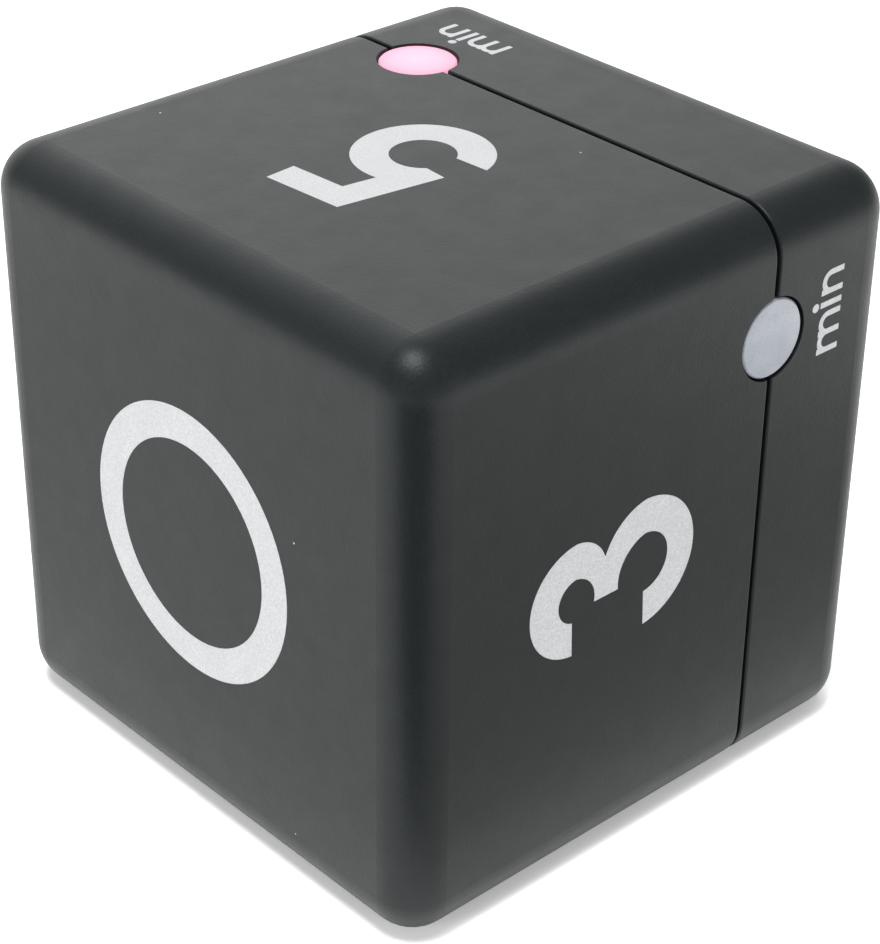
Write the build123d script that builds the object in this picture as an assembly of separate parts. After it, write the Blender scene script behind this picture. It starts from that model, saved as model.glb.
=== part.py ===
from build123d import *
import os

# A cube kitchen timer, modelled as it comes apart on a bench.
# It is turned so that the chosen time faces up: the four time faces (1, 3, 5 and 10 minutes) run
# round the X axis, the 0 face (-X) is the off side, and the end cap (+X) holds two AAA cells.
# The case is a deep shell and an end cap that meet at a seam. A round light cap sits on the seam of
# each time face, over an LED at the edge of the one circuit board. A steel ball in a ring-shaped
# race rolls to its lowest point and bridges the contact pair there, which tells the board which
# face is up.
# Units are millimetres. Parts are modelled about the cube's centre and written with the cube
# standing on Z = 0. "Depth" runs along X from the 0 face, and "below" is inwards from a time face.

# ---- case
SIDE = 63.5                  # outside size of the cube, 2.5 in
HALF = SIDE / 2
EDGE_R = 5.0                 # radius on the long outside edges
END_TIGHTER = 0.3            # the edges round a closed end are this much tighter
WALL = 2.2
SEAM = 45.95                 # depth of the middle of the seam
SEAM_GAP = 0.5
SEAM_ROUND = 0.25            # broken edge along each side of the seam
TONGUE_T = 1.0               # the end cap's tongue, which closes the gap from inside
TONGUE_H = 2.6
TONGUE_CLEAR = 0.1
RIM = SEAM - SEAM_GAP / 2    # where the shell ends
CAP_RIM = SEAM + SEAM_GAP / 2
INNER = HALF - WALL          # half width of the hollow
INNER_R = EDGE_R - WALL

# ---- printing: ink fills a pocket of its own thickness, so it ends flush
INK = 0.08
STROKE = 3.7
NUMERAL_H = 21.75
BASELINE = -5.35             # of the numerals, above the middle of a face
FACES = {"five": 0, "three": 90, "one": 180, "ten": -90}   # turn about X from the top face

# ---- lights
LIGHT_ACROSS = 18.8          # from the middle of a face to the light's centre
LIGHT_HOLE_R = 4.38
LIGHT_CAP_R = 4.12
LIGHT_SUNK = 0.13            # the light cap's edge is this far below the face
LIGHT_DOME = 0.1             # and its middle stands this much higher than its edge
FLANGE_TOP = WALL + 0.15
FLANGE_T = 1.0
FLANGE_R = 5.3
SOCKET_R = 2.5
SOCKET_END = 5.0
LED_R = 1.5
LED_FLANGE_R = 1.9
LED_TIP = 2.75
LED_LENGTH = 5.3
LEAD_R = 0.25
LEAD_PITCH = 2.54

# ---- case screws
SCREW_AT = 24.5              # across both ways from the middle
SHELL_BOSS_R = 3.2
CAP_BOSS_R = 3.5
COUNTERBORE_R = 2.5
SCREW_SEAT = SEAM + 3.0      # depth at which the screw heads seat
SCREW_SHANK_R = 1.15
SCREW_HEAD_R = 2.2
SCREW_HEAD_H = 1.7
SCREW_LENGTH = 10.0
SCREW_CLEAR = 0.05

# ---- circuit board
BOARD_TOP = 48.0             # the side that faces the 0 face
BOARD_T = 1.0
BOARD_BACK = BOARD_TOP + BOARD_T
BOARD_HALF = 28.0
BOARD_POSTS = [(13.5, 17.0), (13.5, -17.0), (-25.0, 8.0), (-25.0, -8.0)]
POST_R = 2.4
BOARD_SCREW_R = 0.9
SOLDER_SIDE = 0.6            # how far leads stand out of the back of the board

# ---- battery bay, opening through the end cap
CELL_R = 5.25
CELL_LENGTH = 44.5
NUB_R = 1.9
NUB_H = 1.0
CELL_PITCH = 11.4
BAY_Y = -6.75                # middle of the bay across the cap
BAY_W = 23.5
BAY_L = 49.5
BAY_WALL = 2.0
BAY_FLOOR = 51.0             # depth of the surface the cells lie on
BAY_FLOOR_T = 1.2
CELL_DEPTH = BAY_FLOOR + 0.15 + CELL_R
CONTACT_T = 0.4

# ---- battery door
DOOR_T = 1.5
DOOR_GAP = 0.15
DOOR_LEDGE = 1.25            # how much of the bay wall carries the door
DOOR_UNDER = SIDE - DOOR_T
OPENING_W = BAY_W + 2 * DOOR_LEDGE
OPENING_L = BAY_L + 2 * DOOR_LEDGE
HOOK_AT = 13.0               # two snap hooks on each long side, either side of the middle
HOOK_W = 6.0
HOOK_T = 0.8
HOOK_TIP = 58.6
BARB = 0.45                  # how far a hook's barb reaches into its window
BARB_TOP = 60.4
BARB_H = 1.0
WINDOW_CLEAR = 0.25
NAIL_R = 3.6                 # the scoop for a fingernail, beside the door

# ---- buzzer
BUZZER_Y = 18.0
DISC_R = 10.0
DISC_T = 0.25
CERAMIC_R = 7.0
BUZZER_RING_R = 11.2
BUZZER_RING_H = 4.0
BUZZER_STEP = 1.0            # air space between the disc and the sound holes
HOLE_R = 0.75
HOLE_PITCH = 2.8

# ---- tilt sensor
RACE_R = 12.0                # inside of the race's outer wall
RACE_WALL = 1.2
HUB_R = 5.2
RACE_BASE_T = 1.1
RACE_DEEP = 6.7
RACE_LID_T = 1.0
BALL_R = 3.0
BALL_ORBIT = 8.88            # ball's centre from the race's axis
RACE_FLOOR = BOARD_TOP - RACE_BASE_T
RACE_TOP = RACE_FLOOR - RACE_DEEP
PIN_R = 0.3
PIN_AT = RACE_R + 0.22
PIN_SPREAD = 10              # degrees either side of each resting place


# ======== helpers

def block(depth, across, up):
    """A box from (low, high) pairs: depth from the 0 face, then Y and Z from the centre."""
    (d0, d1), (y0, y1), (z0, z1) = depth, across, up
    middle = ((d0 + d1) / 2 - HALF, (y0 + y1) / 2, (z0 + z1) / 2)
    return Pos(*middle) * Box(d1 - d0, y1 - y0, z1 - z0)


def rod(radius, d0, d1, y=0.0, z=0.0):
    """A round bar along X between two depths."""
    return Pos((d0 + d1) / 2 - HALF, y, z) * Rot(0, 90, 0) * Cylinder(radius, d1 - d0)


def edges_at(solid, depth):
    """The edges that lie flat at one depth."""
    at, near = depth - HALF, 0.001
    return solid.edges().filter_by_position(Axis.X, at - near, at + near)


def rounded_block(d0, d1, half, radius, ends=()):
    """A square block along X with rounded long edges, and rounded edges at the ends named."""
    solid = block((d0, d1), (-half, half), (-half, half))
    solid = fillet(solid.edges().filter_by(Axis.X), radius)
    for end in ends:
        solid = fillet(edges_at(solid, end), radius - END_TIGHTER)
    return solid


def on_face(shape, face):
    """Turns something made for the top time face to another time face."""
    return Rot(FACES[face], 0, 0) * shape


def below(across, top, bottom, radius, depth=SEAM):
    """A round bar along the top face's normal, between two distances below that face."""
    return Pos(depth - HALF, across, HALF - (top + bottom) / 2) * Cylinder(radius, bottom - top)


def corners(distance=SCREW_AT):
    return [(y, z) for y in (-distance, distance) for z in (-distance, distance)]


TOP_FACE = Plane(origin=(0, 0, HALF), x_dir=(0, 1, 0), z_dir=(0, 0, 1))


def printed(sketch):
    """Ink on the top face: the sketch's x runs across the face and its y towards the 0 face."""
    return extrude(TOP_FACE * sketch, -INK)


# ======== printed numerals and labels

def numeral_one(x=0.0):
    """A stem with a slanting flag, drawn with its stem's middle at x."""
    top = BASELINE + NUMERAL_H
    left, right = x - STROKE / 2, x + STROKE / 2
    flag_x, flag_y, flag_h = left - 3.6, top - 4.6, 3.9
    outline = Polyline(
        (left, BASELINE), (right, BASELINE), (right, top), (left + 0.5, top),
        (flag_x, flag_y), (flag_x, flag_y - flag_h), (left, flag_y - 1.2), (left, BASELINE),
    )
    return make_face(outline)


def numeral_oval(x):
    """The nought of the ten."""
    wide, middle = 7.1, BASELINE + NUMERAL_H / 2
    ring = Ellipse(wide, NUMERAL_H / 2) - Ellipse(wide - STROKE, NUMERAL_H / 2 - STROKE)
    return Pos(x, middle) * ring


def numeral_ten():
    return numeral_one(-8.4) + numeral_oval(4.6)


def numeral_five():
    """A round bowl, a slanting stem and a level bar, printed a little askew."""
    tilt, slant = 4.1, 12.2
    bowl, inner = 7.13, 3.35
    bar_top, bar_w = 14.3, 9.5
    stem_w = 2.9
    top_left = Vector(-2.7, bar_top)
    down = Vector(0, -1).rotate(Axis.Z, -slant)
    stem_end = top_left + down * 12.0
    inner_corner = Vector(top_left.X + stem_w, bar_top - 3.55)
    stem_meets = inner_corner + down * ((inner_corner.Y - 6.97) / -down.Y)
    bowl_start = Vector(stem_meets.X, (bowl ** 2 - stem_meets.X ** 2) ** 0.5)
    terminal_y = -1.5
    outer_end = Vector(-(bowl ** 2 - terminal_y ** 2) ** 0.5, terminal_y)
    inner_end = Vector(-(inner ** 2 - terminal_y ** 2) ** 0.5, terminal_y)
    counter_start = Vector(-2.55, (inner ** 2 - 2.55 ** 2) ** 0.5)
    outline = (
        Polyline(counter_start, stem_end, top_left, (top_left.X + bar_w, bar_top),
                 (top_left.X + bar_w, inner_corner.Y), inner_corner, bowl_start)
        + ThreePointArc(bowl_start, (bowl, 0), (0, -bowl))
        + ThreePointArc((0, -bowl), Vector(-bowl, -bowl) * 0.5 ** 0.5, outer_end)
        + Line(outer_end, inner_end)
        + ThreePointArc(inner_end, (0, -inner), (inner, 0))
        + ThreePointArc((inner, 0), Vector(inner, inner) * 0.5 ** 0.5, counter_start)
    )
    return Pos(0.35, 1.68) * Rot(0, 0, tilt) * make_face(outline)


def numeral_three():
    """Two bowls that meet at a notch on the right and a blunt stub in the middle."""
    notch_upper, notch_lower = (3.65, 7.58), (3.65, 7.48)
    outline = (
        Line((-6.55, 1.85), (-2.7, 2.05))
        + ThreePointArc((-2.7, 2.05), (0.6, -1.05), (3.9, 2.25))
        + ThreePointArc((3.9, 2.25), (2.3, 4.75), (-0.9, 5.6))
        + Line((-0.9, 5.6), (-0.9, 8.8))
        + ThreePointArc((-0.9, 8.8), (1.7, 9.55), (2.62, 11.35))
        + ThreePointArc((2.62, 11.35), (0.3, 13.5), (-2.1, 11.65))
        + Line((-2.1, 11.65), (-5.85, 11.5))
        + ThreePointArc((-5.85, 11.5), (0.3, 17.2), (6.52, 11.4))
        + ThreePointArc((6.52, 11.4), (5.66, 9.1), notch_upper)
        + Line(notch_upper, notch_lower)
        + ThreePointArc(notch_lower, (6.46, 5.4), (7.72, 2.2))
        + ThreePointArc((7.72, 2.2), (0.55, -4.65), (-6.55, 1.85))
    )
    return make_face(outline)


def numeral_zero():
    """The off mark on the 0 face: a plain ring, centred."""
    outer = 14.55
    return Circle(outer) - Circle(outer - STROKE)


def unit_label():
    """The letters m, i, n under the light, from stems and half-round arches."""
    stem, x_height, left, base = 0.62, 3.05, 14.6, -23.95
    arch_w = 2.6
    arch_r = arch_w / 2

    def bar(x, height):
        return Pos(x + stem / 2, height / 2) * Rectangle(stem, height)

    def arch(x):
        centre = Pos(x + arch_r, x_height - arch_r)
        half = Circle(arch_r) - Circle(arch_r - stem) - Pos(0, -arch_r) * Rectangle(arch_w, arch_w)
        return centre * half + bar(x, x_height) + bar(x + arch_w - stem, x_height - arch_r)

    letter_m = arch(0) + arch(arch_w - stem)
    i_x = 5.1
    letter_i = bar(i_x, x_height) + Pos(i_x + stem / 2, x_height + 0.7) * Circle(0.47)
    letter_n = arch(6.45)
    return Pos(left, base) * (letter_m + letter_i + letter_n)


def ink_numerals():
    numerals = {"one": numeral_one(0.9), "three": numeral_three(),
                "five": numeral_five(), "ten": numeral_ten()}
    ink = {f"numeral_{face}": on_face(printed(sketch), face) for face, sketch in numerals.items()}
    zero_face = Plane(origin=(-HALF, 0, 0), x_dir=(0, -1, 0), z_dir=(-1, 0, 0))
    ink["numeral_zero"] = extrude(zero_face * numeral_zero(), -INK)
    return ink


def ink_unit_labels():
    return Compound([s for face in FACES for s in on_face(printed(unit_label()), face).solids()])


# ======== case

def light_holes():
    hole = below(LIGHT_ACROSS, -1, WALL + 1, LIGHT_HOLE_R)
    return [on_face(hole, face) for face in FACES]


def break_seam_edge(solid, depth):
    return fillet(edges_at(solid, depth), SEAM_ROUND)


def corner_rib(y, z, d0, d1):
    """A web from a screw boss out to the case's corner."""
    reach, thick = 6.0, 1.2
    angle = Vector(y, z).get_signed_angle(Vector(1, 0), Vector(0, 0, -1))
    web = Pos((d0 + d1) / 2 - HALF, reach / 2, 0) * Box(d1 - d0, reach, thick)
    return Pos(0, y, z) * Rot(angle, 0, 0) * web


def main_shell(ink):
    """The deep half: the 0 face and most of the four time faces, with four long screw bosses."""
    outer = break_seam_edge(rounded_block(0, RIM, HALF, EDGE_R, ends=(0,)), RIM)
    hollow = rounded_block(WALL, SIDE, INNER, INNER_R, ends=(WALL,))
    rebate_half = INNER + TONGUE_T + TONGUE_CLEAR
    rebate_r = EDGE_R - HALF + rebate_half
    rebate = rounded_block(RIM - TONGUE_H - TONGUE_CLEAR, SIDE, rebate_half, rebate_r)
    bosses = [rod(SHELL_BOSS_R, WALL, SEAM, y, z) for y, z in corners()]
    ribs = [corner_rib(y, z, WALL, RIM - 8) & outer for y, z in corners()]
    pilots = [rod(SCREW_SHANK_R + SCREW_CLEAR, SEAM - 12, SEAM + 1, y, z) for y, z in corners()]
    shell = outer - hollow - rebate + ribs + bosses - pilots - light_holes()
    return shell - list(ink.values())


def sound_holes():
    """A centre hole and two hexagonal rings."""
    places = [(0.0, 0.0)]
    for ring in (1, 2):
        for side in range(6):
            start = Vector(HOLE_PITCH * ring, 0).rotate(Axis.Z, 60 * side)
            step = Vector(HOLE_PITCH, 0).rotate(Axis.Z, 60 * side + 120)
            places += [tuple(start + step * n)[:2] for n in range(ring)]
    return [rod(HOLE_R, SIDE - WALL - 1, SIDE + 1, BUZZER_Y + y, z) for y, z in places]


def battery_bay():
    """The walls and floor that stand inside the cap round the cells."""
    half_w, half_l = BAY_W / 2 + BAY_WALL, BAY_L / 2 + BAY_WALL
    depth = (BAY_FLOOR - BAY_FLOOR_T, SIDE - WALL / 2)
    return block(depth, (BAY_Y - half_w, BAY_Y + half_w), (-half_l, half_l))


def hook_places():
    return [(side, z) for side in (-1, 1) for z in (-HOOK_AT, HOOK_AT)]


def bay_cuts():
    """The bay's hollow, the door's opening, and what its hooks, contacts and a fingernail need."""
    half_w, half_l = BAY_W / 2, BAY_L / 2
    opening_w, opening_l = OPENING_W / 2, OPENING_L / 2
    cuts = [
        block((BAY_FLOOR, SIDE + 1), (BAY_Y - half_w, BAY_Y + half_w), (-half_l, half_l)),
        block((DOOR_UNDER, SIDE + 1), (BAY_Y - opening_w, BAY_Y + opening_w), (-opening_l, opening_l)),
    ]
    window_w = HOOK_W / 2 + WINDOW_CLEAR
    window_depth = (BARB_TOP - BARB_H - WINDOW_CLEAR, BARB_TOP + 0.05)
    for side, z in hook_places():
        window_y = sorted((BAY_Y + side * (half_w - 1), BAY_Y + side * (half_w + BAY_WALL + 1)))
        cuts.append(block(window_depth, window_y, (z - window_w, z + window_w)))
    for y in (-1, 1):
        tail_y = BAY_Y + y * CELL_PITCH / 2
        tail_z = (half_l - CONTACT_T - 0.1, half_l)
        cuts.append(block((BAY_FLOOR - BAY_FLOOR_T - 1, BAY_FLOOR + 1), (tail_y - 1.4, tail_y + 1.4), tail_z))
    nail = Pos(SIDE - HALF, BAY_Y + opening_w - 0.6, 0) * Sphere(NAIL_R)
    return cuts + [nail]


def end_cap(labels):
    """The shallow half: battery bay, door opening, buzzer ring, board posts and screw bosses."""
    outer = break_seam_edge(rounded_block(CAP_RIM, SIDE, HALF, EDGE_R, ends=(SIDE,)), CAP_RIM)
    tongue_half = INNER + TONGUE_T
    tongue = rounded_block(RIM - TONGUE_H, CAP_RIM + 1, tongue_half, EDGE_R - HALF + tongue_half)
    hollow = rounded_block(0, SIDE - WALL, INNER, INNER_R, ends=(SIDE - WALL,))
    bosses = [rod(CAP_BOSS_R, SEAM, SIDE - WALL / 2, y, z) for y, z in corners()]
    ribs = [corner_rib(y, z, CAP_RIM, SIDE - WALL / 2) & outer for y, z in corners()]
    posts = [rod(POST_R, BOARD_BACK, SIDE - WALL / 2, y, z) for y, z in BOARD_POSTS]
    ring = rod(BUZZER_RING_R, SIDE - WALL - BUZZER_RING_H, SIDE - WALL / 2, BUZZER_Y)
    cap = outer + tongue - hollow + ribs + bosses + posts + ring + battery_bay()
    cuts = bay_cuts()
    seat = SIDE - WALL - BUZZER_STEP
    cuts += [
        rod(DISC_R + 0.2, SIDE - WALL - BUZZER_RING_H - 1, seat, BUZZER_Y),
        rod(DISC_R - 0.8, seat - 1, SIDE - WALL, BUZZER_Y),
    ]
    for y, z in corners():
        cuts.append(rod(COUNTERBORE_R, SCREW_SEAT, SIDE + 1, y, z))
        cuts.append(rod(SCREW_SHANK_R + 0.25, SEAM - 1, SCREW_SEAT + 1, y, z))
    pilot_r = BOARD_SCREW_R + SCREW_CLEAR
    cuts += [rod(pilot_r, BOARD_BACK - 1, BOARD_BACK + 5, y, z) for y, z in BOARD_POSTS]
    return cap - cuts - sound_holes() - light_holes() - labels.solids()


def battery_door():
    """A flat panel that presses in, with two snap hooks on each long side."""
    half_w, half_l = OPENING_W / 2 - DOOR_GAP, OPENING_L / 2 - DOOR_GAP
    panel = block((DOOR_UNDER, SIDE), (BAY_Y - half_w, BAY_Y + half_w), (-half_l, half_l))
    panel = chamfer(panel.edges().group_by(Axis.X)[-1], 0.2)
    face = BAY_W / 2 - 0.1
    hook = block((HOOK_TIP, DOOR_UNDER), (face - HOOK_T, face), (-HOOK_W / 2, HOOK_W / 2))
    barb = Polyline(
        (BARB_TOP - HALF, face), (BARB_TOP - HALF, face + BARB), (BARB_TOP - BARB_H - HALF, face),
        (BARB_TOP - HALF, face),
    )
    hook += extrude(make_face(barb), HOOK_W / 2, both=True)
    hooks = [Pos(0, BAY_Y, z) * (hook if side > 0 else mirror(hook, Plane.XZ)) for side, z in hook_places()]
    arrow_y = BAY_Y + half_w - 3.2
    arrow = Polyline((arrow_y, -2.0), (arrow_y, 2.0), (arrow_y - 2.7, 0), (arrow_y, -2.0))
    arrow = extrude(Plane.YZ.offset(SIDE - HALF) * make_face(arrow), -0.4)
    return panel + hooks - arrow


def case_screws():
    """Four pan-head self-tapping screws with cross recesses."""
    return Compound([screw(SCREW_SEAT, y, z, SCREW_SHANK_R, SCREW_HEAD_R, SCREW_HEAD_H, SCREW_LENGTH)
                     for y, z in corners()])


def screw(seat, y, z, shank_r, head_r, head_h, length, towards=1):
    """One screw with its head seated at a depth: towards is 1 where the head faces +X."""
    head = Pos(0, 0, head_h / 2) * Cylinder(head_r, head_h)
    head = fillet(head.edges().group_by(Axis.Z)[-1], head_h * 0.45)
    arm, slot = head_r * 1.1, head_r * 0.22
    recess = [Pos(0, 0, head_h) * Box(*size, head_h * 1.1) for size in ((arm, slot), (slot, arm))]
    taper = shank_r * 1.4
    shank = Pos(0, 0, -(length - taper) / 2) * Cylinder(shank_r, length - taper)
    tip = Pos(0, 0, -length + taper / 2) * Rot(180, 0, 0) * Cone(shank_r, shank_r * 0.35, taper)
    return Pos(seat - HALF, y, z) * Rot(0, 90 * towards, 0) * (head - recess + shank + tip)


# ======== lights

def light_cap():
    """A milky cap: a shallow dome in the case's hole, a flange behind the wall, a socket for the LED."""
    edge, crown = HALF - LIGHT_SUNK, HALF - LIGHT_SUNK + LIGHT_DOME
    flange_top = HALF - FLANGE_TOP
    flange_low = flange_top - FLANGE_T
    socket_low = HALF - SOCKET_END
    bore_r = LED_R + 0.1
    bore_top = HALF - LED_TIP + 0.3
    soften = 0.15
    half_way = (LIGHT_CAP_R / 2, crown - LIGHT_DOME * 0.25)
    dome = ThreePointArc((0, crown), half_way, (LIGHT_CAP_R - soften, edge))
    outline = dome + Polyline(
        (LIGHT_CAP_R - soften, edge), (LIGHT_CAP_R, edge - soften), (LIGHT_CAP_R, flange_top),
        (FLANGE_R, flange_top), (FLANGE_R, flange_low), (SOCKET_R, flange_low),
        (SOCKET_R, socket_low), (bore_r, socket_low), (bore_r, bore_top), (0, bore_top), (0, crown),
    )
    body = revolve(Plane.XZ * make_face(outline), Axis.Z)
    return Pos(SEAM - HALF, LIGHT_ACROSS, 0) * body


def led():
    """A 3 mm round LED lying on the board, pointing out at the time face."""
    tip, base = HALF - LED_TIP, HALF - LED_TIP - LED_LENGTH
    shoulder = tip - LED_R
    outline = ThreePointArc((0, tip), (LED_R * 0.5 ** 0.5, shoulder + LED_R * 0.5 ** 0.5), (LED_R, shoulder))
    outline += Polyline((LED_R, shoulder), (LED_R, base + 1.0), (LED_FLANGE_R, base + 1.0),
                        (LED_FLANGE_R, base), (0, base), (0, tip))
    return Pos(SEAM - HALF, LIGHT_ACROSS, 0) * revolve(Plane.XZ * make_face(outline), Axis.Z)


def led_leads():
    """The two leads of each LED, bent down into the board."""
    base = HALF - LED_TIP - LED_LENGTH
    leads = []
    for side in (-0.5, 0.5):
        y = LIGHT_ACROSS + side * LEAD_PITCH
        path = FilletPolyline((SEAM - HALF, y, base), (SEAM - HALF, y, base - 1.4),
                              (BOARD_BACK + SOLDER_SIDE - HALF, y, base - 1.4), radius=0.7)
        section = Plane(origin=path @ 0, z_dir=path % 0) * Circle(LEAD_R)
        leads.append(sweep(section, path))
    return Compound([s for face in FACES for lead in leads for s in on_face(lead, face).solids()])


# ======== circuit board and what is on it

def circuit_board():
    """A square board, cut back round the screw bosses and light sockets, on four posts."""
    board = block((BOARD_TOP, BOARD_BACK), (-BOARD_HALF, BOARD_HALF), (-BOARD_HALF, BOARD_HALF))
    clear = CAP_BOSS_R + 0.5
    cuts = []
    for y, z in corners():
        cuts.append(rod(clear, BOARD_TOP - 1, BOARD_BACK + 1, y, z))
        far = BOARD_HALF + 1
        y_span, z_span = sorted((y, far if y > 0 else -far)), sorted((z, far if z > 0 else -far))
        cuts.append(block((BOARD_TOP - 1, BOARD_BACK + 1), y_span, z_span))
    lead_z = HALF - LED_TIP - LED_LENGTH - 1.4
    for face in FACES:
        notch = block((BOARD_TOP - 1, BOARD_BACK + 1), (LIGHT_ACROSS - 3, LIGHT_ACROSS + 6),
                      (HALF - SOCKET_END - 0.4, HALF))
        cuts.append(on_face(notch, face))
        for side in (-0.5, 0.5):
            y = LIGHT_ACROSS + side * LEAD_PITCH
            cuts.append(on_face(rod(LEAD_R + 0.1, BOARD_TOP - 1, BOARD_BACK + 1, y, lead_z), face))
    cuts += [rod(BOARD_SCREW_R + 0.15, BOARD_TOP - 1, BOARD_BACK + 1, y, z) for y, z in BOARD_POSTS]
    cuts += [rod(PIN_R + 0.1, BOARD_TOP - 1, BOARD_BACK + 1, y, z) for y, z in pin_places()]
    for y in (-1, 1):
        tail_y = BAY_Y + y * CELL_PITCH / 2
        cuts.append(block((BOARD_TOP - 1, BOARD_BACK + 1), (tail_y - 1.3, tail_y + 1.3),
                          (BAY_L / 2 - CONTACT_T - 0.1, BAY_L / 2 + 0.1)))
    return board - cuts


def board_screws():
    head_r, head_h, length = 1.7, 1.2, 5.0
    return Compound([screw(BOARD_TOP, y, z, BOARD_SCREW_R, head_r, head_h, length, towards=-1)
                     for y, z in BOARD_POSTS])


def pin_places():
    """The contact pins: a pair at each of the four places where the ball can rest."""
    places = []
    for quarter in range(4):
        for side in (-PIN_SPREAD, PIN_SPREAD):
            pin = Vector(0, 0, -PIN_AT).rotate(Axis.X, 90 * quarter + side)
            places.append((pin.Y, pin.Z))
    return places


def tilt_contacts():
    return Compound([rod(PIN_R, RACE_TOP + 0.8, BOARD_BACK + SOLDER_SIDE, y, z) for y, z in pin_places()])


def tilt_race():
    """The round moulding with a ring-shaped channel that the ball rolls in."""
    body = rod(RACE_R + RACE_WALL, RACE_TOP, BOARD_TOP)
    channel = rod(RACE_R, RACE_TOP - 1, RACE_FLOOR) - rod(HUB_R, RACE_TOP - 1, RACE_FLOOR)
    pins = [rod(PIN_R, RACE_TOP + 0.8, BOARD_TOP + 1, y, z) for y, z in pin_places()]
    return body - channel - pins


def tilt_lid():
    lid = rod(RACE_R + RACE_WALL, RACE_TOP - RACE_LID_T, RACE_TOP)
    lid = chamfer(lid.edges().group_by(Axis.X)[0], 0.3)
    return lid - rod(HUB_R - 1.5, RACE_TOP - RACE_LID_T - 1, RACE_TOP - RACE_LID_T / 2)


def tilt_ball():
    middle = (RACE_TOP + RACE_FLOOR) / 2
    return Pos(middle - HALF, 0, -BALL_ORBIT) * Sphere(BALL_R)


def timer_chip():
    """The timer chip, bonded to the board under a domed blob of epoxy."""
    blob_r, blob_h = 4.2, 1.5
    ball_r = (blob_r ** 2 + blob_h ** 2) / (2 * blob_h)
    ball = Pos(BOARD_TOP - blob_h + ball_r - HALF, -20, -12) * Sphere(ball_r)
    return ball & block((BOARD_TOP - 2 * blob_h, BOARD_TOP), (-26, -14), (-18, -6))


def crystal():
    """A watch crystal in its can, lying on the board, with its two legs."""
    can = Pos(BOARD_TOP - 1.05 - HALF, -19.5, -1) * Cylinder(1.0, 6.0)
    can = fillet(can.edges(), 0.2)
    legs = [Pos(BOARD_TOP - 1.05 - HALF, y, 2.6) * Cylinder(0.15, 1.2) for y in (-19.85, -19.15)]
    feet = [rod(0.15, BOARD_TOP - 1.2, BOARD_TOP, y, 3.05) for y in (-19.85, -19.15)]
    return can + legs + feet


def capacitor():
    """A small electrolytic can with its crimped groove, standing on the board."""
    can = rod(2.5, BOARD_TOP - 7.2, BOARD_TOP - 0.2, 19, -9)
    can = fillet(can.edges().group_by(Axis.X)[0], 0.4)
    groove = rod(2.6, BOARD_TOP - 1.6, BOARD_TOP - 1.2, 19, -9)
    groove -= rod(2.25, BOARD_TOP - 2, BOARD_TOP - 1, 19, -9)
    seal = rod(1.9, BOARD_TOP - 0.3, BOARD_TOP, 19, -9)
    return can - groove + seal


def boost_coil():
    """The drum-wound coil that steps up the voltage for the buzzer."""
    y, z = 19.0, 5.0
    drum = rod(3.4, BOARD_TOP - 7.5, BOARD_TOP, y, z)
    waist = rod(4.0, BOARD_TOP - 6.5, BOARD_TOP - 1.2, y, z) - rod(2.0, BOARD_TOP - 7, BOARD_TOP - 1, y, z)
    return drum - waist


def coil_winding():
    y, z = 19.0, 5.0
    return rod(3.0, BOARD_TOP - 6.5, BOARD_TOP - 1.2, y, z) - rod(2.0, BOARD_TOP - 7, BOARD_TOP - 1, y, z)


def transistor():
    """The buzzer's driver: a half-round moulded body on three legs."""
    y, z, lift = 3.0, 19.0, 2.0
    body = rod(2.3, BOARD_TOP - lift - 4.6, BOARD_TOP - lift, y, z)
    body -= block((0, SIDE), (y - 5, y + 5), (z + 1.3, z + 5))
    legs = [block((BOARD_TOP - lift, BOARD_TOP), (y + n - 0.2, y + n + 0.2), (z - 0.2, z + 0.2))
            for n in (-1.27, 0, 1.27)]
    return body + legs


def chip_resistors():
    """Six surface-mount resistors in a row."""
    places = [(-8.0 + 2.6 * column, 17.0 + 3.6 * row) for row in range(2) for column in range(3)]
    return Compound([block((BOARD_TOP - 0.5, BOARD_TOP), (y - 0.62, y + 0.62), (z - 1.0, z + 1.0))
                     for y, z in places])


# ======== battery contacts and cells

def cell(y, nub_up):
    """An AAA cell lying in the bay, with its raised end towards +Z or -Z."""
    can_l = CELL_LENGTH - NUB_H
    can = Cylinder(CELL_R, can_l)
    can = fillet(can.edges(), 0.4)
    nub = Pos(0, 0, can_l / 2 + NUB_H / 2) * Cylinder(NUB_R, NUB_H)
    nub = fillet(nub.edges().group_by(Axis.Z)[-1], 0.25)
    whole = can + nub
    tip = can_l / 2 + NUB_H
    seat = BAY_L / 2 - CONTACT_T
    turn = Rot(0, 0, 0) if nub_up else Rot(180, 0, 0)
    return Pos(CELL_DEPTH - HALF, y, (seat - tip) * (1 if nub_up else -1)) * turn * whole


def contact_plate(y0, y1, up):
    """A flat plate standing against one end wall of the bay."""
    wall = BAY_L / 2
    z_span = (wall - CONTACT_T, wall) if up else (-wall, -wall + CONTACT_T)
    plate = block((BAY_FLOOR, BAY_FLOOR + 9.5), (y0, y1), z_span)
    return fillet(plate.edges().filter_by(Axis.Z).group_by(Axis.X)[-1], 1.2)


def solder_tail(y):
    wall = BAY_L / 2
    return block((BOARD_TOP - 0.5, BAY_FLOOR), (y - 1.2, y + 1.2), (wall - CONTACT_T, wall))


def positive_contact():
    y = BAY_Y - CELL_PITCH / 2
    return contact_plate(y - 4.4, y + 4.4, True) + solder_tail(y)


def negative_contact():
    y = BAY_Y + CELL_PITCH / 2
    return contact_plate(y - 4.4, y + 4.4, True) + solder_tail(y)


def bridge_contact():
    """Joins the two cells in series at the bay's lower end."""
    return contact_plate(BAY_Y - CELL_PITCH / 2 - 4.4, BAY_Y + CELL_PITCH / 2 + 4.4, False)


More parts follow.
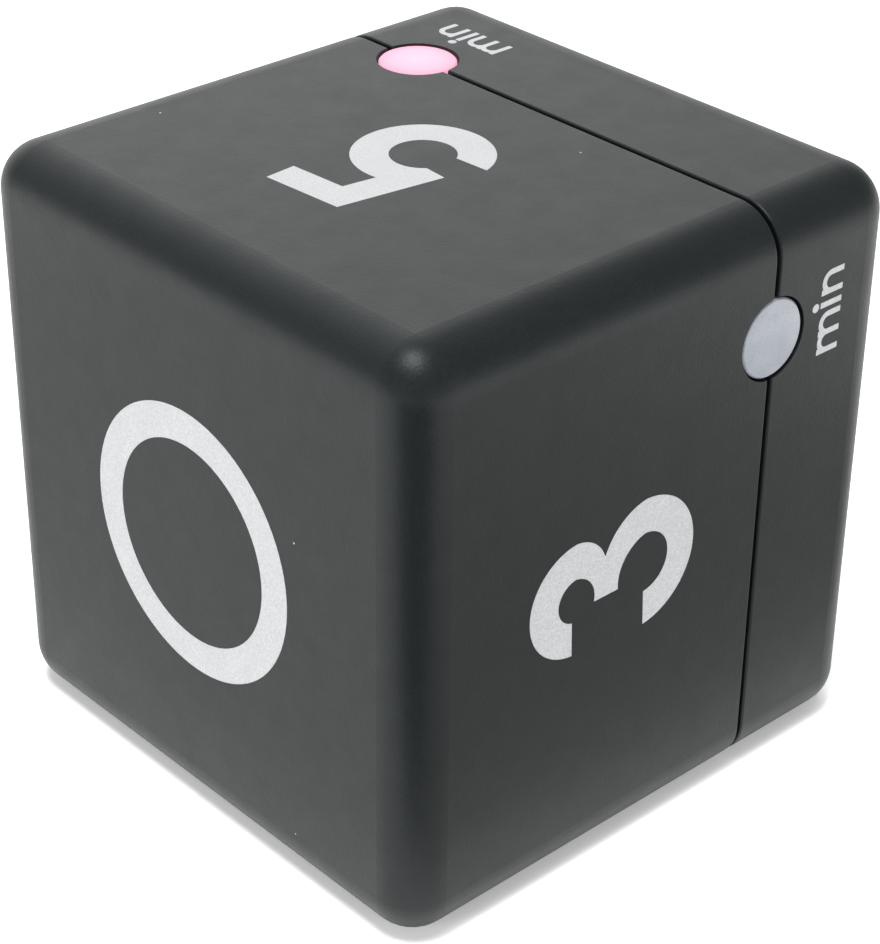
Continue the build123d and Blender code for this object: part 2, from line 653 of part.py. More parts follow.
def contact_spring(y, up):
    """A coil of plated wire between a contact plate and the flat end of a cell."""
    wire_r, turns, coil_r = 0.35, 3.5, 3.0
    height = BAY_L - 2 * CONTACT_T - CELL_LENGTH - 2 * wire_r
    path = Helix(height / turns, height, coil_r)
    section = Plane(origin=path @ 0, z_dir=path % 0) * Circle(wire_r)
    coil = sweep(section, path, is_frenet=True)
    base = BAY_L / 2 - CONTACT_T - wire_r
    turn = Rot(180, 0, 0) if up else Rot(0, 0, 0)
    return Pos(CELL_DEPTH - HALF, y, base if up else -base) * turn * coil


# ======== buzzer

def buzzer_disc():
    seat = SIDE - WALL - BUZZER_STEP
    return rod(DISC_R, seat - DISC_T, seat, BUZZER_Y)


def buzzer_ceramic():
    back = SIDE - WALL - BUZZER_STEP - DISC_T
    return rod(CERAMIC_R, back - DISC_T, back, BUZZER_Y)


def buzzer_lead(start, pad):
    """An insulated lead from the buzzer to a pad on the back of the board."""
    lead_r = 0.45
    (d0, y0, z0), (y1, z1) = start, pad
    points = [(d0 - HALF, y0, z0), (d0 - 3.8 - HALF, y0, z0), (BOARD_BACK + 3.4 - HALF, y1, z1),
              (BOARD_BACK - HALF, y1, z1)]
    path = FilletPolyline(*points, radius=2.2)
    section = Plane(origin=path @ 0, z_dir=path % 0) * Circle(lead_r)
    return sweep(section, path)


# ======== build and write

def build():
    ink = ink_numerals()
    labels = ink_unit_labels()
    cell_a, cell_b = BAY_Y - CELL_PITCH / 2, BAY_Y + CELL_PITCH / 2
    disc_back = SIDE - WALL - BUZZER_STEP - DISC_T
    parts = {
        "main_shell": main_shell(ink),
        "end_cap": end_cap(labels),
        "battery_door": battery_door(),
        "case_screws": case_screws(),
        "circuit_board": circuit_board(),
        "board_screws": board_screws(),
        "led_leads": led_leads(),
        "tilt_race": tilt_race(),
        "tilt_lid": tilt_lid(),
        "tilt_contacts": tilt_contacts(),
        "tilt_ball": tilt_ball(),
        "timer_chip": timer_chip(),
        "crystal": crystal(),
        "capacitor": capacitor(),
        "boost_coil": boost_coil(),
        "coil_winding": coil_winding(),
        "transistor": transistor(),
        "chip_resistors": chip_resistors(),
        "cell_front": cell(cell_a, True),
        "cell_rear": cell(cell_b, False),
        "positive_contact": positive_contact(),
        "negative_contact": negative_contact(),
        "bridge_contact": bridge_contact(),
        "bridge_spring": contact_spring(cell_a, False),
        "negative_spring": contact_spring(cell_b, True),
        "buzzer_disc": buzzer_disc(),
        "buzzer_ceramic": buzzer_ceramic(),
        "buzzer_lead_red": buzzer_lead((disc_back - DISC_T, BUZZER_Y, 2.0), (14.5, 7.0)),
        "buzzer_lead_black": buzzer_lead((disc_back, BUZZER_Y, -8.6), (14.5, -6.0)),
        "unit_labels": labels,
        **ink,
    }
    for face in FACES:
        parts[f"light_cap_{face}"] = on_face(light_cap(), face)
        parts[f"led_{face}"] = on_face(led(), face)
    return parts


os.makedirs("parts", exist_ok=True)
for node, shape in build().items():
    export_step(Pos(0, 0, HALF) * shape, f"parts/{node}.step")
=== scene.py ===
import math

import bpy
from mathutils import Matrix, Vector


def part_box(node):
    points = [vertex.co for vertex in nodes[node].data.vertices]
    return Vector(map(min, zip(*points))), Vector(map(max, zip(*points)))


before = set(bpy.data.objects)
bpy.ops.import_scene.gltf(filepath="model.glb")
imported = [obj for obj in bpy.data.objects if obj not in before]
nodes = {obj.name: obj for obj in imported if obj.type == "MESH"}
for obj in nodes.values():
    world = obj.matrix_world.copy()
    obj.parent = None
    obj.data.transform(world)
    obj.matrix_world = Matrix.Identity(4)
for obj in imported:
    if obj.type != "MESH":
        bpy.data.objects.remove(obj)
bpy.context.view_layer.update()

# ======== Case: shell, end cap and battery door
# Three injection mouldings in charcoal ABS. The moulds were spark-eroded, so the outside has a fine
# even grain that scatters light and leaves a soft, nearly matt sheen.

mm = 0.001


def linear(hex_colour):
    """An sRGB hex colour as linear RGBA."""
    channels = [int(hex_colour[i:i + 2], 16) / 255 for i in (1, 3, 5)]
    return (*[c / 12.92 if c <= 0.04045 else ((c + 0.055) / 1.055) ** 2.4 for c in channels], 1.0)


def add(tree, kind, settings=None, **inputs):
    """Adds a node. An input is set to a value, or linked to a socket or to a node's first output."""
    node = tree.nodes.new("ShaderNode" + kind)
    for name, value in (settings or {}).items():
        setattr(node, name, value)
    live = [socket for socket in node.inputs if socket.enabled]
    for name, value in inputs.items():
        if name[0] == "_":
            socket = live[int(name[1:])]
        else:
            socket = next(s for s in live if s.name == name.replace("_", " "))
        if isinstance(value, bpy.types.Node):
            value = next(output for output in value.outputs if output.enabled)
        if isinstance(value, bpy.types.NodeSocket):
            tree.links.new(value, socket)
        else:
            socket.default_value = value
    return node


def start_material(name):
    """An empty material, its node tree, and the surface's position in metres."""
    material = bpy.data.materials.new(name)
    material.use_nodes = True
    tree = material.node_tree
    tree.nodes.clear()
    return material, tree, add(tree, "TexCoord").outputs["Object"]


def dress(material, *names):
    for name in names:
        nodes[name].data.materials.clear()
        nodes[name].data.materials.append(material)


def spark_eroded_abs():
    """Charcoal ABS off a spark-eroded mould: dark, finely grained and softly shining, a little dusty."""
    grain_size = 0.28 * mm       # the real grain is about 0.05 mm, drawn coarser so that it shows
    cooling_size = 4 * mm        # slow change in gloss where the melt cooled unevenly
    dust_spacing = 8 * mm
    dust_radius = 0.1 * mm
    grain_depth = 0.03 * mm
    material, tree, place = start_material("abs_spark_eroded")
    grain = add(tree, "TexNoise", Vector=place, Scale=1 / grain_size, Detail=3.0, Roughness=0.7)
    cooling = add(tree, "TexNoise", Vector=place, Scale=1 / cooling_size, Detail=5.0, Roughness=0.7)
    dark = add(tree, "Mix", {"data_type": "RGBA"}, Factor=grain, A=linear("#010202"),
               B=linear("#252A2B"))
    plastic = add(tree, "Mix", {"data_type": "RGBA"}, Factor=cooling, A=dark, B=linear("#0C1011"))
    dust = add(tree, "TexVoronoi", Vector=place, Scale=1 / dust_spacing, Randomness=1.0)
    speck = add(tree, "Math", {"operation": "LESS_THAN"}, _0=dust, _1=dust_radius / dust_spacing)
    colour = add(tree, "Mix", {"data_type": "RGBA"}, Factor=speck, A=plastic, B=linear("#B4B6B6"))
    uneven = add(tree, "MapRange", Value=cooling, From_Min=0.3, From_Max=0.7, To_Min=0.36, To_Max=0.41)
    gloss = add(tree, "Math", {"operation": "MULTIPLY_ADD"}, _0=grain, _1=0.1, _2=uneven)
    bump = add(tree, "Bump", Strength=0.8, Distance=grain_depth, Height=grain)
    shader = add(tree, "BsdfPrincipled", Base_Color=colour, Roughness=gloss, Normal=bump, IOR=1.5,
                 Specular_IOR_Level=0.4, Specular_Tint=linear("#F6FBFA"))
    add(tree, "OutputMaterial", Surface=shader)
    return material


dress(spark_eroded_abs(), "main_shell", "end_cap", "battery_door")

# ======== Printed marks
# Numerals, off ring and unit labels, pad-printed in silver ink. Tiny flakes in the ink make it
# sparkle slightly, and it lies thin enough for the case's grain to show.


def silver_pad_ink():
    """Silver-grey pad-printing ink: bright, satin, with a fine flake."""
    flake_size = 0.16 * mm       # real flakes are about 0.02 mm, drawn coarser so that they show
    thin_size = 3 * mm
    flake_depth = 0.02 * mm
    material, tree, place = start_material("ink_pad_printed")
    flake = add(tree, "TexNoise", Vector=place, Scale=1 / flake_size, Detail=2.0)
    thin = add(tree, "TexNoise", Vector=place, Scale=1 / thin_size, Detail=2.0)
    body = add(tree, "Mix", {"data_type": "RGBA"}, Factor=flake, A=linear("#8D8E90"), B=linear("#CBCCCE"))
    worn = add(tree, "MapRange", Value=thin, From_Min=0.3, From_Max=0.7, To_Max=0.12)
    colour = add(tree, "Mix", {"data_type": "RGBA"}, Factor=worn, A=body, B=linear("#8E9092"))
    satin = add(tree, "MapRange", Value=flake, From_Min=0.3, From_Max=0.7, To_Min=0.38, To_Max=0.55)
    bump = add(tree, "Bump", Strength=0.2, Distance=flake_depth, Height=flake)
    shader = add(tree, "BsdfPrincipled", Base_Color=colour, Roughness=satin, Normal=bump, IOR=1.5,
                 Specular_IOR_Level=0.3)
    add(tree, "OutputMaterial", Surface=shader)
    return material


numerals = ["numeral_zero", "numeral_one", "numeral_three", "numeral_five", "numeral_ten"]
dress(silver_pad_ink(), *numerals, "unit_labels")

# ======== Light caps
# Four milky polycarbonate buttons sit in round holes on the seam, each pushed on to a 3 mm LED.
# The one on top is lit: the LED shows as a pale pink middle, and the light that leaks out of the
# cap's edge is a deeper red.


def milky_polycarbonate():
    """Polycarbonate with a white diffusing filler: cool, translucent and smooth."""
    cloud_size = 1.5 * mm
    polish_size = 0.25 * mm
    material, tree, place = start_material("polycarbonate_milky")
    cloud = add(tree, "TexNoise", Vector=place, Scale=1 / cloud_size, Detail=2.0)
    colour = add(tree, "Mix", {"data_type": "RGBA"}, Factor=cloud, A=linear("#83878F"), B=linear("#989CA4"))
    polish = add(tree, "TexNoise", Vector=place, Scale=1 / polish_size, Detail=2.0)
    gloss = add(tree, "MapRange", Value=polish, From_Min=0.3, From_Max=0.7, To_Min=0.26, To_Max=0.34)
    shader = add(tree, "BsdfPrincipled", Base_Color=colour, Roughness=gloss, IOR=1.58, Coat_Weight=0.15)
    add(tree, "OutputMaterial", Surface=shader)
    return material


def lit_polycarbonate(centre, rim):
    """The same plastic with the LED on behind it: nearly white in the middle, red at the rim."""
    material, tree, place = start_material("polycarbonate_lit")
    offset = add(tree, "VectorMath", {"operation": "SUBTRACT"}, _0=place, _1=centre)
    flat = add(tree, "VectorMath", {"operation": "MULTIPLY"}, _0=offset, _1=(1, 1, 0))
    reach = add(tree, "VectorMath", {"operation": "LENGTH"}, _0=flat)
    share = add(tree, "MapRange", Value=reach, From_Min=0.0, From_Max=rim)
    glow = add(tree, "ValToRGB", Fac=share)
    stops = [(0.0, "#FFD8F0"), (0.5, "#FFCDE5"), (0.82, "#FFB0CE"), (0.93, "#FF6F9F"), (1.0, "#C8305C")]
    for _ in stops[2:]:
        glow.color_ramp.elements.new(0.5)
    for element, (position, colour) in zip(glow.color_ramp.elements, stops):
        element.position = position
        element.color = linear(colour)
    shader = add(tree, "BsdfPrincipled", Base_Color=linear("#3A1420"), Roughness=0.4, IOR=1.5,
                 Emission_Color=glow, Emission_Strength=0.92)
    add(tree, "OutputMaterial", Surface=shader)
    return material


faces = ["one", "three", "five", "ten"]
lit = "five"
cap_low, cap_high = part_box("light_cap_" + lit)
centre = (Vector(cap_low) + Vector(cap_high)) / 2
dress(lit_polycarbonate(centre, cap_high[0] - centre.x), "light_cap_" + lit)
dress(milky_polycarbonate(), *["light_cap_" + face for face in faces if face != lit])

# ======== LEDs and their leads
# Four 3 mm LEDs, each cast in clear epoxy round its chip, lie at the edges of the circuit board and
# point outwards. Their tinned steel leads are bent down and soldered into the board.


def cast_epoxy(name, tint, glow_strength):
    """Clear cast epoxy: glassy, with faint swirls from the pour. On a lit LED the tint is painted pink and
    the epoxy glows, standing in for its light.
    """
    swirl_size = 0.8 * mm
    material, tree, place = start_material(name)
    swirl = add(tree, "TexNoise", Vector=place, Scale=1 / swirl_size, Detail=3.0, Distortion=1.5)
    gloss = add(tree, "MapRange", Value=swirl, From_Min=0.3, From_Max=0.7, To_Min=0.03, To_Max=0.12)
    colour = add(tree, "Mix", {"data_type": "RGBA"}, Factor=swirl, A=linear(tint), B=linear("#FFFFFF"))
    shader = add(tree, "BsdfPrincipled", Base_Color=colour, Roughness=gloss, IOR=1.54,
                 Transmission_Weight=0.85, Emission_Color=linear("#FF4A7A"),
                 Emission_Strength=glow_strength)
    add(tree, "OutputMaterial", Surface=shader)
    return material


def tinned_steel():
    """Hot-tinned steel wire: bright and slightly rippled, with dull patches of oxide."""
    ripple_size = 0.4 * mm
    ripple_depth = 0.01 * mm
    material, tree, place = start_material("steel_tinned")
    ripple = add(tree, "TexNoise", Vector=place, Scale=1 / ripple_size, Detail=3.0)
    colour = add(tree, "Mix", {"data_type": "RGBA"}, Factor=ripple, A=linear("#9FA0A1"), B=linear("#DADBDC"))
    gloss = add(tree, "MapRange", Value=ripple, From_Min=0.3, From_Max=0.7, To_Min=0.38, To_Max=0.2)
    bump = add(tree, "Bump", Strength=0.3, Distance=ripple_depth, Height=ripple)
    shader = add(tree, "BsdfPrincipled", Base_Color=colour, Metallic=1.0, Roughness=gloss, Normal=bump)
    add(tree, "OutputMaterial", Surface=shader)
    return material


# The lit LED's pink tint and glow are painted light. The three dark LEDs show the epoxy's own clear colour.
dress(cast_epoxy("epoxy_cast_lit", "#FFC4D6", 2.0), "led_" + lit)
dress(cast_epoxy("epoxy_cast", "#ECE6EA", 0.0), *["led_" + face for face in faces if face != lit])
dress(tinned_steel(), "led_leads")

# ======== Circuit board
# A 1 mm glass-epoxy board under green solder mask. The copper tracks show through the mask as
# paler, slightly raised lines, and the routed edges show the bare straw-coloured laminate.


def masked_laminate():
    """Glass-epoxy laminate with solder mask: glossy green, tracks in relief, a faint glass weave."""
    track_pitch = 1.3 * mm
    track_half, track_edge = 0.15 * mm, 0.05 * mm
    block_size = 9 * mm          # tracks run one way or the other in blocks of about this size
    weave_pitch = 0.5 * mm
    relief_depth = 0.035 * mm
    material, tree, place = start_material("glass_epoxy_masked")
    axes = add(tree, "SeparateXYZ", Vector=place)
    flat = add(tree, "CombineXYZ", X=axes.outputs["Y"], Y=axes.outputs["Z"])
    blocks = add(tree, "TexVoronoi", {"voronoi_dimensions": "2D", "distance": "CHEBYCHEV"}, Vector=flat,
                 Scale=1 / block_size)
    chance = add(tree, "SeparateColor", Color=blocks.outputs["Color"])
    which = add(tree, "Math", {"operation": "GREATER_THAN"}, _0=chance, _1=0.5)
    across = add(tree, "Mix", {"data_type": "FLOAT"}, Factor=which, A=axes.outputs["Y"],
                 B=axes.outputs["Z"])
    stripe = add(tree, "Math", {"operation": "PINGPONG"}, _0=across, _1=track_pitch / 2)
    track = add(tree, "MapRange", Value=stripe, From_Min=track_half, From_Max=track_half + track_edge,
                To_Min=1.0, To_Max=0.0)
    mask = add(tree, "Mix", {"data_type": "RGBA"}, Factor=track, A=linear("#0D4A26"), B=linear("#1E7A40"))
    facing = add(tree, "SeparateXYZ", Vector=add(tree, "NewGeometry").outputs["Normal"])
    flatness = add(tree, "Math", {"operation": "ABSOLUTE"}, _0=facing.outputs["X"])
    on_top = add(tree, "Math", {"operation": "GREATER_THAN"}, _0=flatness, _1=0.5)
    colour = add(tree, "Mix", {"data_type": "RGBA"}, Factor=on_top, A=linear("#B7A66B"), B=mask)
    weave = add(tree, "TexWave", {"bands_direction": "DIAGONAL"}, Vector=flat,
                Scale=math.pi / (10 * weave_pitch), Distortion=0.4)
    relief = add(tree, "Math", {"operation": "MULTIPLY_ADD"}, _0=weave, _1=0.15, _2=track)
    bump = add(tree, "Bump", Strength=0.6, Distance=relief_depth, Height=relief)
    gloss = add(tree, "MapRange", Value=on_top, To_Min=0.7, To_Max=0.25)
    shader = add(tree, "BsdfPrincipled", Base_Color=colour, Roughness=gloss, Normal=bump, IOR=1.55)
    add(tree, "OutputMaterial", Surface=shader)
    return material


dress(masked_laminate(), "circuit_board")

# ======== Tilt sensor
# A black PBT moulding holds a ring-shaped race. A polished bearing ball rolls in it to the lowest
# point and touches one of four pairs of gold-plated pins, so the board knows which face is up.


def moulded_pbt():
    """Black glass-filled PBT: dull black, with short pale fibres just under the skin."""
    fibre = (0.08 * mm, 0.6 * mm, 0.08 * mm)
    fibres_depth = 0.01 * mm
    material, tree, place = start_material("pbt_moulded")
    drawn = add(tree, "VectorMath", {"operation": "DIVIDE"}, _0=place, _1=fibre)
    fibres = add(tree, "TexNoise", Vector=drawn, Scale=1.0, Detail=1.0)
    colour = add(tree, "Mix", {"data_type": "RGBA"}, Factor=fibres, A=linear("#0C0D0E"), B=linear("#242628"))
    gloss = add(tree, "MapRange", Value=fibres, From_Min=0.3, From_Max=0.7, To_Min=0.38, To_Max=0.55)
    bump = add(tree, "Bump", Strength=0.25, Distance=fibres_depth, Height=fibres)
    shader = add(tree, "BsdfPrincipled", Base_Color=colour, Roughness=gloss, Normal=bump, IOR=1.55)
    add(tree, "OutputMaterial", Surface=shader)
    return material


def gold_plated_brass():
    """Thin hard gold over brass: warm and bright, worn paler where the ball taps it."""
    wear_size = 0.5 * mm
    material, tree, place = start_material("brass_gold_plated")
    wear = add(tree, "TexNoise", Vector=place, Scale=1 / wear_size, Detail=4.0)
    colour = add(tree, "Mix", {"data_type": "RGBA"}, Factor=wear, A=linear("#D9A93F"), B=linear("#F0DC9A"))
    gloss = add(tree, "MapRange", Value=wear, From_Min=0.3, From_Max=0.7, To_Min=0.14, To_Max=0.3)
    shader = add(tree, "BsdfPrincipled", Base_Color=colour, Metallic=1.0, Roughness=gloss)
    add(tree, "OutputMaterial", Surface=shader)
    return material


def polished_bearing_steel():
    """Lapped chrome steel: a mirror with hair-fine lapping marks in every direction."""
    marks_size = 0.3 * mm
    material, tree, place = start_material("steel_lapped")
    marks = add(tree, "TexNoise", Vector=place, Scale=1 / marks_size, Detail=5.0, Distortion=3.0)
    colour = add(tree, "Mix", {"data_type": "RGBA"}, Factor=marks, A=linear("#BFC1C4"), B=linear("#D2D3D5"))
    gloss = add(tree, "MapRange", Value=marks, From_Min=0.4, From_Max=0.6, To_Min=0.05, To_Max=0.12)
    shader = add(tree, "BsdfPrincipled", Base_Color=colour, Metallic=1.0, Roughness=gloss)
    add(tree, "OutputMaterial", Surface=shader)
    return material


dress(moulded_pbt(), "tilt_race", "tilt_lid")
dress(gold_plated_brass(), "tilt_contacts")
dress(polished_bearing_steel(), "tilt_ball")

# ======== Timer chip, transistor and resistors
# The bare timer chip is bonded to the board under a poured blob of black epoxy. The transistor is
# moulded in a harder epoxy on tinned legs, and the chip resistors are ceramic with tinned ends.


def poured_epoxy():
    """Black epoxy poured as a blob: glossy, with slow ripples where it flowed and set."""
    flow_size = 1.2 * mm
    flow_depth = 0.05 * mm
    material, tree, place = start_material("epoxy_poured")
    flow = add(tree, "TexNoise", Vector=place, Scale=1 / flow_size, Detail=3.0, Distortion=0.8)
    colour = add(tree, "Mix", {"data_type": "RGBA"}, Factor=flow, A=linear("#060607"), B=linear("#151517"))
    gloss = add(tree, "MapRange", Value=flow, From_Min=0.3, From_Max=0.7, To_Min=0.14, To_Max=0.3)
    bump = add(tree, "Bump", Strength=0.4, Distance=flow_depth, Height=flow)
    shader = add(tree, "BsdfPrincipled", Base_Color=colour, Roughness=gloss, Normal=bump, IOR=1.55)
    add(tree, "OutputMaterial", Surface=shader)
    return material


def add_body_and_tin(tree, place, dark, pale, metal_share):
    """A dull, finely grained body where the metal's share is 0, and tinned metal where it is 1."""
    grain_size = 0.15 * mm
    grain = add(tree, "TexNoise", Vector=place, Scale=1 / grain_size, Detail=2.0)
    dull = add(tree, "Mix", {"data_type": "RGBA"}, Factor=grain, A=linear(dark), B=linear(pale))
    tin = add(tree, "Mix", {"data_type": "RGBA"}, Factor=grain, A=linear("#A5A6A7"), B=linear("#D8D9DA"))
    colour = add(tree, "Mix", {"data_type": "RGBA"}, Factor=metal_share, A=dull, B=tin)
    gloss = add(tree, "MapRange", Value=metal_share, To_Min=0.5, To_Max=0.28)
    shader = add(tree, "BsdfPrincipled", Base_Color=colour, Metallic=metal_share, Roughness=gloss)
    add(tree, "OutputMaterial", Surface=shader)


def moulded_epoxy():
    """Moulded black epoxy above, tinned copper legs below."""
    leg_length = 2.0 * mm
    board_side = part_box("transistor")[1][0]
    material, tree, place = start_material("epoxy_moulded")
    depth = add(tree, "SeparateXYZ", Vector=place)
    legs = add(tree, "Math", {"operation": "GREATER_THAN"}, _0=depth, _1=board_side - leg_length)
    add_body_and_tin(tree, place, "#0E0E0F", "#202123", legs)
    return material


def glazed_alumina():
    """Black glaze over white alumina, with a tinned cap at each end."""
    half_length, cap_length = 1.0 * mm, 0.3 * mm
    low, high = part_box("chip_resistors")
    row_pitch = high[2] - low[2] - 2 * half_length
    material, tree, place = start_material("alumina_glazed")
    height = add(tree, "SeparateXYZ", Vector=place).outputs["Z"]
    from_row = add(tree, "Math", {"operation": "SUBTRACT"}, _0=height, _1=low[2] + half_length)
    off_centre = add(tree, "Math", {"operation": "PINGPONG"}, _0=from_row, _1=row_pitch / 2)
    ends = add(tree, "Math", {"operation": "GREATER_THAN"}, _0=off_centre, _1=half_length - cap_length)
    add_body_and_tin(tree, place, "#131416", "#26282B", ends)
    return material


dress(poured_epoxy(), "timer_chip")
dress(moulded_epoxy(), "transistor")
dress(glazed_alumina(), "chip_resistors")

# ======== Crystal and capacitor
# The watch crystal is sealed in a small drawn can of nickel silver. The capacitor is an aluminium
# can in a shrunk vinyl sleeve, with a pale stripe down its negative side and a bare top.


def drawn_nickel_silver():
    """Nickel silver drawn into a can: bright, with fine lines along the draw."""
    line = (0.06 * mm, 0.06 * mm, 3 * mm)
    material, tree, place = start_material("nickel_silver_drawn")
    drawn = add(tree, "VectorMath", {"operation": "DIVIDE"}, _0=place, _1=line)
    lines = add(tree, "TexNoise", Vector=drawn, Scale=1.0, Detail=2.0)
    colour = add(tree, "Mix", {"data_type": "RGBA"}, Factor=lines, A=linear("#A8A9A6"), B=linear("#DEDFDD"))
    gloss = add(tree, "MapRange", Value=lines, From_Min=0.3, From_Max=0.7, To_Min=0.2, To_Max=0.4)
    shader = add(tree, "BsdfPrincipled", Base_Color=colour, Metallic=1.0, Roughness=gloss)
    add(tree, "OutputMaterial", Surface=shader)
    return material


def sleeved_aluminium():
    """Dark vinyl sleeve shrunk over an aluminium can, open at the top."""
    stripe_half_width = 0.8 * mm
    bare_radius = 1.9 * mm
    low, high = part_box("capacitor")
    axis = (low[0], (low[1] + high[1]) / 2, (low[2] + high[2]) / 2)
    shrink_size = 0.7 * mm
    shrink_depth = 0.03 * mm
    material, tree, place = start_material("vinyl_shrunk")
    offset = add(tree, "VectorMath", {"operation": "SUBTRACT"}, _0=place, _1=axis)
    parts = add(tree, "SeparateXYZ", Vector=offset)
    sideways = add(tree, "Math", {"operation": "ABSOLUTE"}, _0=parts.outputs["Z"])
    beside = add(tree, "Math", {"operation": "GREATER_THAN"}, _0=parts.outputs["Y"], _1=0.0)
    narrow = add(tree, "Math", {"operation": "LESS_THAN"}, _0=sideways, _1=stripe_half_width)
    stripe = add(tree, "Math", {"operation": "MULTIPLY"}, _0=beside, _1=narrow)
    flat = add(tree, "VectorMath", {"operation": "MULTIPLY"}, _0=offset, _1=(0, 1, 1))
    radius = add(tree, "VectorMath", {"operation": "LENGTH"}, _0=flat)
    bare = add(tree, "Math", {"operation": "LESS_THAN"}, _0=radius, _1=bare_radius)
    shrink = add(tree, "TexNoise", Vector=place, Scale=1 / shrink_size, Detail=3.0)
    vinyl = add(tree, "Mix", {"data_type": "RGBA"}, Factor=shrink, A=linear("#0F1420"), B=linear("#1E2740"))
    sleeve = add(tree, "Mix", {"data_type": "RGBA"}, Factor=stripe, A=vinyl, B=linear("#A9B0BC"))
    colour = add(tree, "Mix", {"data_type": "RGBA"}, Factor=bare, A=sleeve, B=linear("#C9CBCE"))
    gloss = add(tree, "MapRange", Value=shrink, From_Min=0.3, From_Max=0.7, To_Min=0.2, To_Max=0.36)
    bump = add(tree, "Bump", Strength=0.2, Distance=shrink_depth, Height=shrink)
    shader = add(tree, "BsdfPrincipled", Base_Color=colour, Metallic=bare, Roughness=gloss, Normal=bump)
    add(tree, "OutputMaterial", Surface=shader)
    return material


dress(drawn_nickel_silver(), "crystal")
dress(sleeved_aluminium(), "capacitor")

# ======== Boost coil
# Fine enamelled copper wire wound on a drum of sintered ferrite. The drum's flanges are bare.


def sintered_ferrite():
    """Sintered ferrite: dark grey, dry and gritty, with chipped pale grains."""
    grit_size = 0.12 * mm        # real grains are about 0.01 mm, drawn coarser so that they show
    grit_depth = 0.03 * mm
    material, tree, place = start_material("ferrite_sintered")
    grit = add(tree, "TexNoise", Vector=place, Scale=1 / grit_size, Detail=4.0, Roughness=0.7)
    colour = add(tree, "Mix", {"data_type": "RGBA"}, Factor=grit, A=linear("#1B1C1E"), B=linear("#44464A"))
    gloss = add(tree, "MapRange", Value=grit, From_Min=0.3, From_Max=0.7, To_Min=0.85, To_Max=0.6)
    bump = add(tree, "Bump", Strength=0.7, Distance=grit_depth, Height=grit)
    shader = add(tree, "BsdfPrincipled", Base_Color=colour, Roughness=gloss, Normal=bump)
    add(tree, "OutputMaterial", Surface=shader)
    return material


def wound_copper():
    """Enamelled copper wire, wound turn beside turn: fine ridges, reddish under a clear coat."""
    wire = 0.25 * mm             # real wire is about 0.1 mm, drawn coarser so that the turns show
    material, tree, place = start_material("copper_enamelled")
    along = add(tree, "SeparateXYZ", Vector=place)
    ridge = add(tree, "Math", {"operation": "PINGPONG"}, _0=along, _1=wire / 2)
    height = add(tree, "MapRange", Value=ridge, From_Max=wire / 2)
    colour = add(tree, "Mix", {"data_type": "RGBA"}, Factor=height, A=linear("#6B2F18"), B=linear("#C9713F"))
    bump = add(tree, "Bump", Strength=1.0, Distance=wire / 3, Height=height)
    shader = add(tree, "BsdfPrincipled", Base_Color=colour, Metallic=1.0, Roughness=0.3, Normal=bump,
                 Coat_Weight=0.8, Coat_Roughness=0.1)
    add(tree, "OutputMaterial", Surface=shader)
    return material


dress(sintered_ferrite(), "boost_coil")
dress(wound_copper(), "coil_winding")

# ======== Buzzer
# A thin disc of rolled brass with a smaller disc of silvered ceramic bonded to it. It rests on a
# step behind the sound holes, and two thin vinyl-covered leads join it to the board.


def rolled_brass():
    """Brass sheet as rolled: straight fine lines one way, and a little brown tarnish."""
    line = (1 * mm, 6 * mm, 0.07 * mm)
    tarnish_size = 4 * mm
    material, tree, place = start_material("brass_rolled")
    rolled = add(tree, "VectorMath", {"operation": "DIVIDE"}, _0=place, _1=line)
    lines = add(tree, "TexNoise", Vector=rolled, Scale=1.0, Detail=2.0)
    tarnish = add(tree, "TexNoise", Vector=place, Scale=1 / tarnish_size, Detail=4.0)
    bright = add(tree, "Mix", {"data_type": "RGBA"}, Factor=lines, A=linear("#C99B45"), B=linear("#EBCB82"))
    stain = add(tree, "MapRange", Value=tarnish, From_Min=0.5, From_Max=0.8, To_Max=0.6)
    colour = add(tree, "Mix", {"data_type": "RGBA"}, Factor=stain, A=bright, B=linear("#8A6230"))
    gloss = add(tree, "MapRange", Value=lines, From_Min=0.3, From_Max=0.7, To_Min=0.2, To_Max=0.38)
    shader = add(tree, "BsdfPrincipled", Base_Color=colour, Metallic=1.0, Roughness=gloss)
    add(tree, "OutputMaterial", Surface=shader)
    return material


def silvered_ceramic():
    """A fired silver electrode on white ceramic: pale, matt and slightly sandy."""
    sand_size = 0.1 * mm         # real grains are about 0.005 mm, drawn coarser so that they show
    sand_depth = 0.01 * mm
    material, tree, place = start_material("ceramic_silvered")
    sand = add(tree, "TexNoise", Vector=place, Scale=1 / sand_size, Detail=3.0)
    colour = add(tree, "Mix", {"data_type": "RGBA"}, Factor=sand, A=linear("#BDBBB2"), B=linear("#ECEAE2"))
    gloss = add(tree, "MapRange", Value=sand, From_Min=0.3, From_Max=0.7, To_Min=0.5, To_Max=0.68)
    bump = add(tree, "Bump", Strength=0.3, Distance=sand_depth, Height=sand)
    shader = add(tree, "BsdfPrincipled", Base_Color=colour, Metallic=0.6, Roughness=gloss, Normal=bump)
    add(tree, "OutputMaterial", Surface=shader)
    return material


def extruded_vinyl(name, dark, pale):
    """Plasticised vinyl run on to the wire: smooth and waxy, with faint bands from the die."""
    bands_size = 0.9 * mm
    material, tree, place = start_material(name)
    bands = add(tree, "TexNoise", Vector=place, Scale=1 / bands_size, Detail=2.0)
    colour = add(tree, "Mix", {"data_type": "RGBA"}, Factor=bands, A=linear(dark), B=linear(pale))
    gloss = add(tree, "MapRange", Value=bands, From_Min=0.3, From_Max=0.7, To_Min=0.28, To_Max=0.42)
    shader = add(tree, "BsdfPrincipled", Base_Color=colour, Roughness=gloss, IOR=1.53)
    add(tree, "OutputMaterial", Surface=shader)
    return material


dress(rolled_brass(), "buzzer_disc")
dress(silvered_ceramic(), "buzzer_ceramic")
dress(extruded_vinyl("vinyl_extruded_red", "#8E0D0A", "#D42A1E"), "buzzer_lead_red")
dress(extruded_vinyl("vinyl_extruded_black", "#08080A", "#1C1D20"), "buzzer_lead_black")

